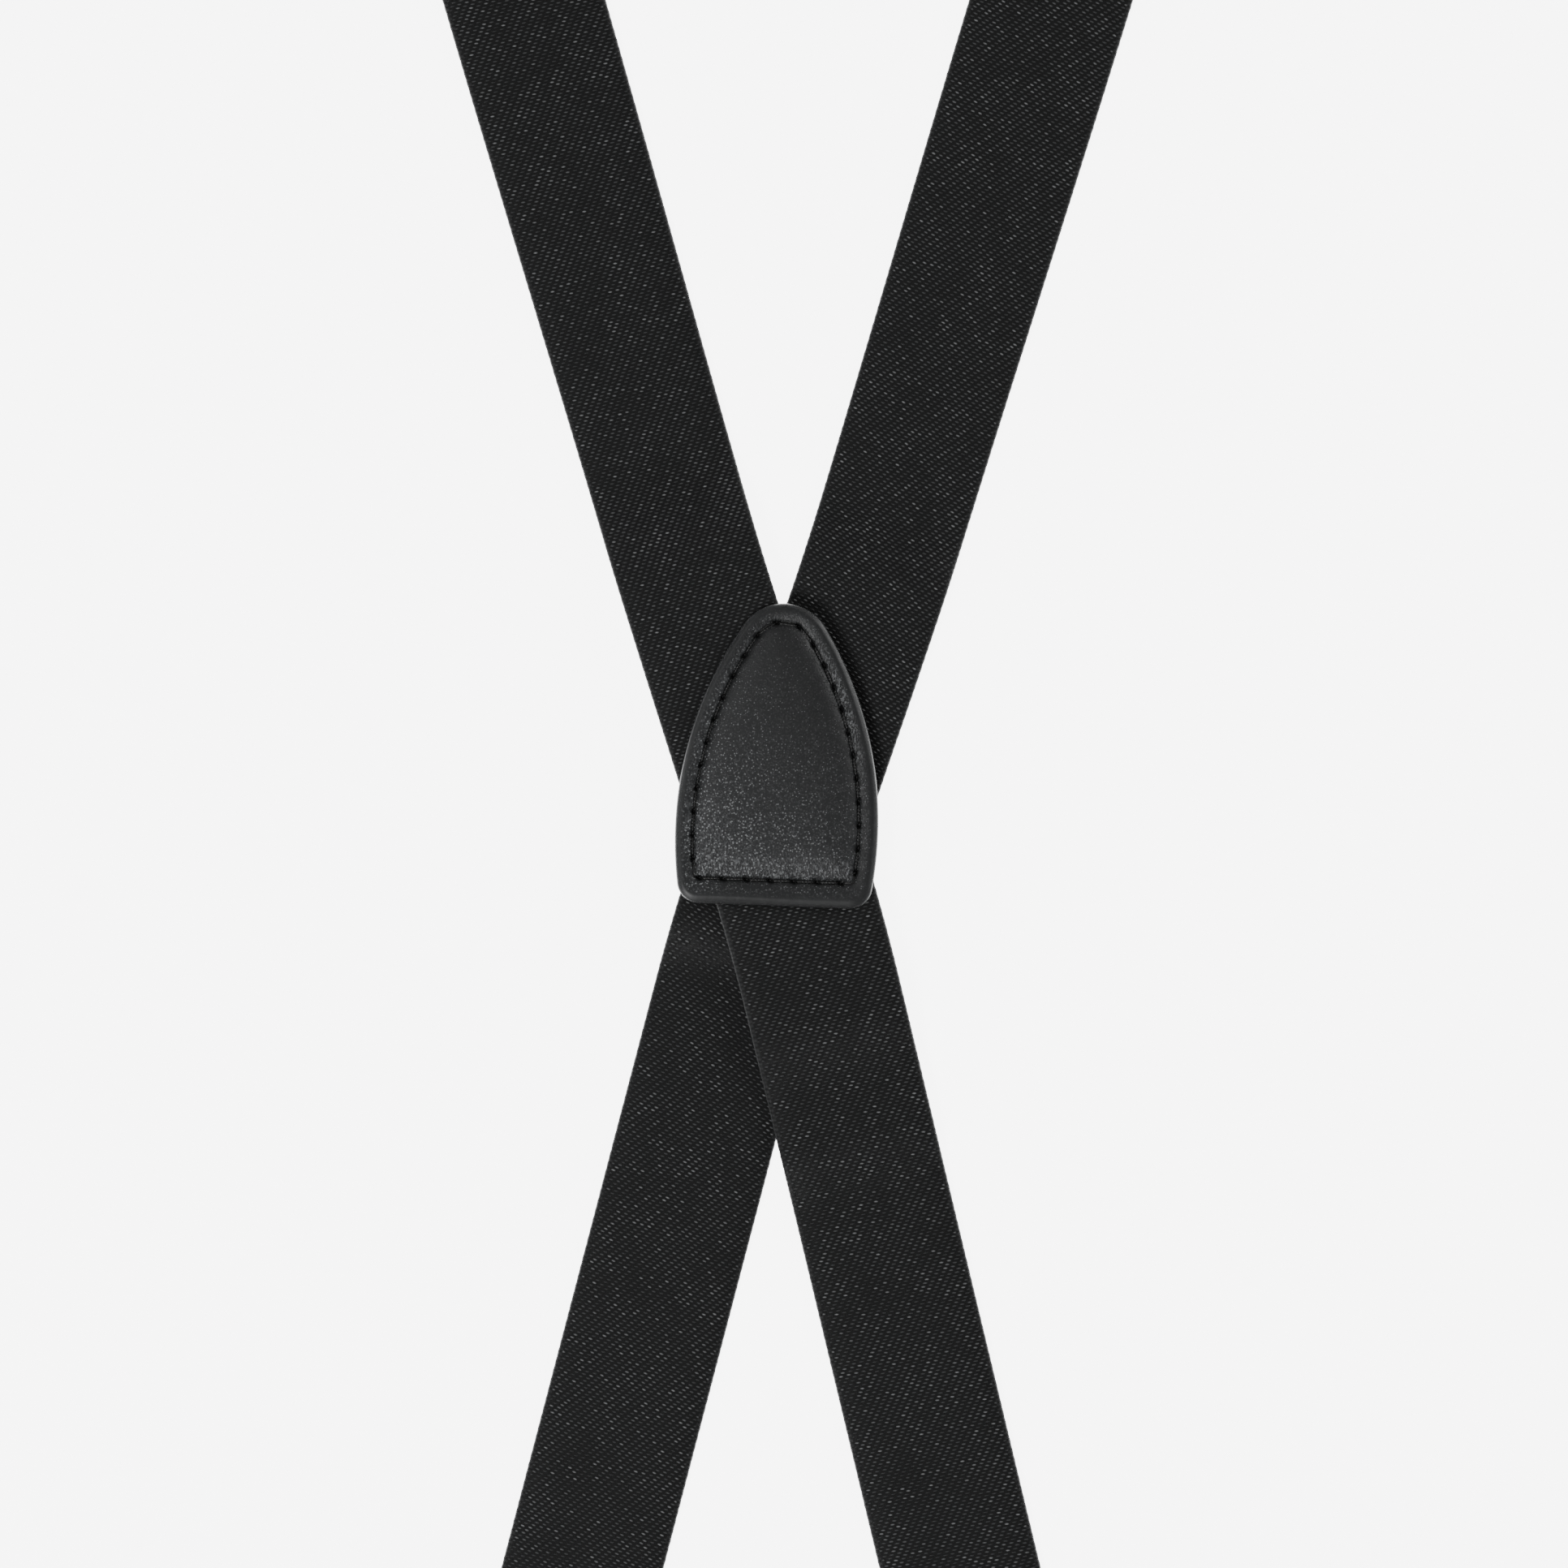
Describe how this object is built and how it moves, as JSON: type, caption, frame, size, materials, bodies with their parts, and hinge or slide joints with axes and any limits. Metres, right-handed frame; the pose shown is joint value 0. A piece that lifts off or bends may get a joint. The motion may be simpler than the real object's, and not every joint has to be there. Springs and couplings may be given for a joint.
{
  "type": "suspenders",
  "caption": "X-back elastic suspenders lying flat, with a stitched leather crossing patch, length adjusters and lever clips.",
  "frame": {"origin": "middle of the crossing patch's underside, on the plane the suspenders lie on", "axes": "+Y from the patch towards the front clips, +Z out of the outer face of the straps, +X to the right of someone facing the outer face with the front clips up"},
  "size_m": [0.4196, 0.9275, 0.011],
  "materials": {
    "webbing": "black elastic twill webbing",
    "leather": "black fine-grained satin leatherette",
    "thread": "black twisted polyester thread",
    "nickel": "bright nickel plate on pressed steel",
    "grip_pad": "black moulded plastic"
  },
  "bodies": {
    "root": {"left_strap_back": "webbing", "left_strap_crossing": "webbing", "left_strap_front": "webbing", "right_strap_back": "webbing", "right_strap_crossing": "webbing", "right_strap_front": "webbing", "back_left_loop": "webbing", "back_right_loop": "webbing", "patch_back": "leather", "patch_front": "leather", "patch_thread": "thread"},
    "left_adjuster": {"left_adjuster_frame": "nickel", "left_adjuster_pin": "nickel"},
    "left_adjuster_lock": {"left_adjuster_lever": "nickel"},
    "left_loop": {"front_left_loop": "webbing"},
    "front_left_clip": {"front_left_clip_frame": "nickel", "front_left_clip_rivet_a": "nickel", "front_left_clip_rivet_b": "nickel", "front_left_clip_pad_lower": "grip_pad"},
    "front_left_jaw": {"front_left_clip_jaw": "nickel", "front_left_clip_pad_upper": "grip_pad"},
    "front_left_lever": {"front_left_clip_lever": "nickel"},
    "right_adjuster": {"right_adjuster_frame": "nickel", "right_adjuster_pin": "nickel"},
    "right_adjuster_lock": {"right_adjuster_lever": "nickel"},
    "right_loop": {"front_right_loop": "webbing"},
    "front_right_clip": {"front_right_clip_frame": "nickel", "front_right_clip_rivet_a": "nickel", "front_right_clip_rivet_b": "nickel", "front_right_clip_pad_lower": "grip_pad"},
    "front_right_jaw": {"front_right_clip_jaw": "nickel", "front_right_clip_pad_upper": "grip_pad"},
    "front_right_lever": {"front_right_clip_lever": "nickel"},
    "back_left_clip": {"back_left_clip_frame": "nickel", "back_left_clip_rivet_a": "nickel", "back_left_clip_rivet_b": "nickel", "back_left_clip_pad_lower": "grip_pad"},
    "back_left_jaw": {"back_left_clip_jaw": "nickel", "back_left_clip_pad_upper": "grip_pad"},
    "back_left_lever": {"back_left_clip_lever": "nickel"},
    "back_right_clip": {"back_right_clip_frame": "nickel", "back_right_clip_rivet_a": "nickel", "back_right_clip_rivet_b": "nickel", "back_right_clip_pad_lower": "grip_pad"},
    "back_right_jaw": {"back_right_clip_jaw": "nickel", "back_right_clip_pad_upper": "grip_pad"},
    "back_right_lever": {"back_right_clip_lever": "nickel"}
  },
  "joints": [
    {"name": "left_adjuster_slide", "type": "slide", "parent": "root", "child": "left_adjuster", "axis": [-0.279, 0.9603, 0], "range_m": [-0.08, 0.08], "deforming": ["left_strap_front", "front_left_loop"]},
    {"name": "left_loop_slide", "type": "slide", "parent": "left_adjuster", "child": "left_loop", "axis": [-0.279, 0.9603, 0], "range_m": [-0.04, 0.04], "deforming": ["front_left_loop"]},
    {"name": "left_adjuster_lock_hinge", "type": "hinge", "parent": "left_adjuster", "child": "left_adjuster_lock", "pos_m": [-0.13304, 0.43839, 0.0054], "axis": [0.9603, 0.279, 0], "range_deg": [0, 95]},
    {"name": "front_left_clip_swivel", "type": "hinge", "parent": "left_loop", "child": "front_left_clip", "pos_m": [-0.17741, 0.59107, 0.0027], "axis": [0.9603, 0.279, 0], "range_deg": [-80, 80]},
    {"name": "front_left_lever_hinge", "type": "hinge", "parent": "front_left_clip", "child": "front_left_lever", "pos_m": [-0.18605, 0.62084, 0.009], "axis": [-0.9603, -0.279, 0], "range_deg": [0, 100]},
    {"name": "front_left_jaw_hinge", "type": "hinge", "parent": "front_left_clip", "child": "front_left_jaw", "pos_m": [-0.17964, 0.59876, 0.0027], "axis": [0.9603, 0.279, 0], "range_deg": [0, 5.25]},
    {"name": "right_adjuster_slide", "type": "slide", "parent": "root", "child": "right_adjuster", "axis": [0.2924, 0.9563, 0], "range_m": [-0.08, 0.08], "deforming": ["right_strap_front", "front_right_loop"]},
    {"name": "right_loop_slide", "type": "slide", "parent": "right_adjuster", "child": "right_loop", "axis": [0.2924, 0.9563, 0], "range_m": [-0.04, 0.04], "deforming": ["front_right_loop"]},
    {"name": "right_adjuster_lock_hinge", "type": "hinge", "parent": "right_adjuster", "child": "right_adjuster_lock", "pos_m": [0.14031, 0.43667, 0.0054], "axis": [0.9563, -0.2924, 0], "range_deg": [0, 95]},
    {"name": "front_right_clip_swivel", "type": "hinge", "parent": "right_loop", "child": "front_right_clip", "pos_m": [0.1868, 0.58872, 0.0027], "axis": [0.9563, -0.2924, 0], "range_deg": [-80, 80]},
    {"name": "front_right_lever_hinge", "type": "hinge", "parent": "front_right_clip", "child": "front_right_lever", "pos_m": [0.19586, 0.61837, 0.009], "axis": [-0.9563, 0.2924, 0], "range_deg": [0, 100]},
    {"name": "front_right_jaw_hinge", "type": "hinge", "parent": "front_right_clip", "child": "front_right_jaw", "pos_m": [0.18914, 0.59637, 0.0027], "axis": [0.9563, -0.2924, 0], "range_deg": [0, 5.25]},
    {"name": "back_left_clip_swivel", "type": "hinge", "parent": "root", "child": "back_left_clip", "pos_m": [-0.05816, -0.23246, 0.0027], "axis": [-0.9673, 0.2538, 0], "range_deg": [-80, 80]},
    {"name": "back_left_lever_hinge", "type": "hinge", "parent": "back_left_clip", "child": "back_left_lever", "pos_m": [-0.06602, -0.26245, 0.009], "axis": [0.9673, -0.2538, 0], "range_deg": [0, 100]},
    {"name": "back_left_jaw_hinge", "type": "hinge", "parent": "back_left_clip", "child": "back_left_jaw", "pos_m": [-0.06019, -0.2402, 0.0027], "axis": [-0.9673, 0.2538, 0], "range_deg": [0, 5.25]},
    {"name": "back_right_clip_swivel", "type": "hinge", "parent": "root", "child": "back_right_clip", "pos_m": [0.05389, -0.23356, 0.0027], "axis": [-0.9724, -0.2334, 0], "range_deg": [-80, 80]},
    {"name": "back_right_lever_hinge", "type": "hinge", "parent": "back_right_clip", "child": "back_right_lever", "pos_m": [0.06113, -0.2637, 0.009], "axis": [0.9724, 0.2334, 0], "range_deg": [0, 100]},
    {"name": "back_right_jaw_hinge", "type": "hinge", "parent": "back_right_clip", "child": "back_right_jaw", "pos_m": [0.05576, -0.24134, 0.0027], "axis": [-0.9724, -0.2334, 0], "range_deg": [0, 5.25]}
  ],
  "couplings": [
    {"joint": "left_loop_slide", "follows": "left_adjuster_slide", "ratio": -0.5},
    {"joint": "front_left_jaw_hinge", "follows": "front_left_lever_hinge", "ratio": 0.052},
    {"joint": "right_loop_slide", "follows": "right_adjuster_slide", "ratio": -0.5},
    {"joint": "front_right_jaw_hinge", "follows": "front_right_lever_hinge", "ratio": 0.052},
    {"joint": "back_left_jaw_hinge", "follows": "back_left_lever_hinge", "ratio": 0.052},
    {"joint": "back_right_jaw_hinge", "follows": "back_right_lever_hinge", "ratio": 0.052}
  ]
}
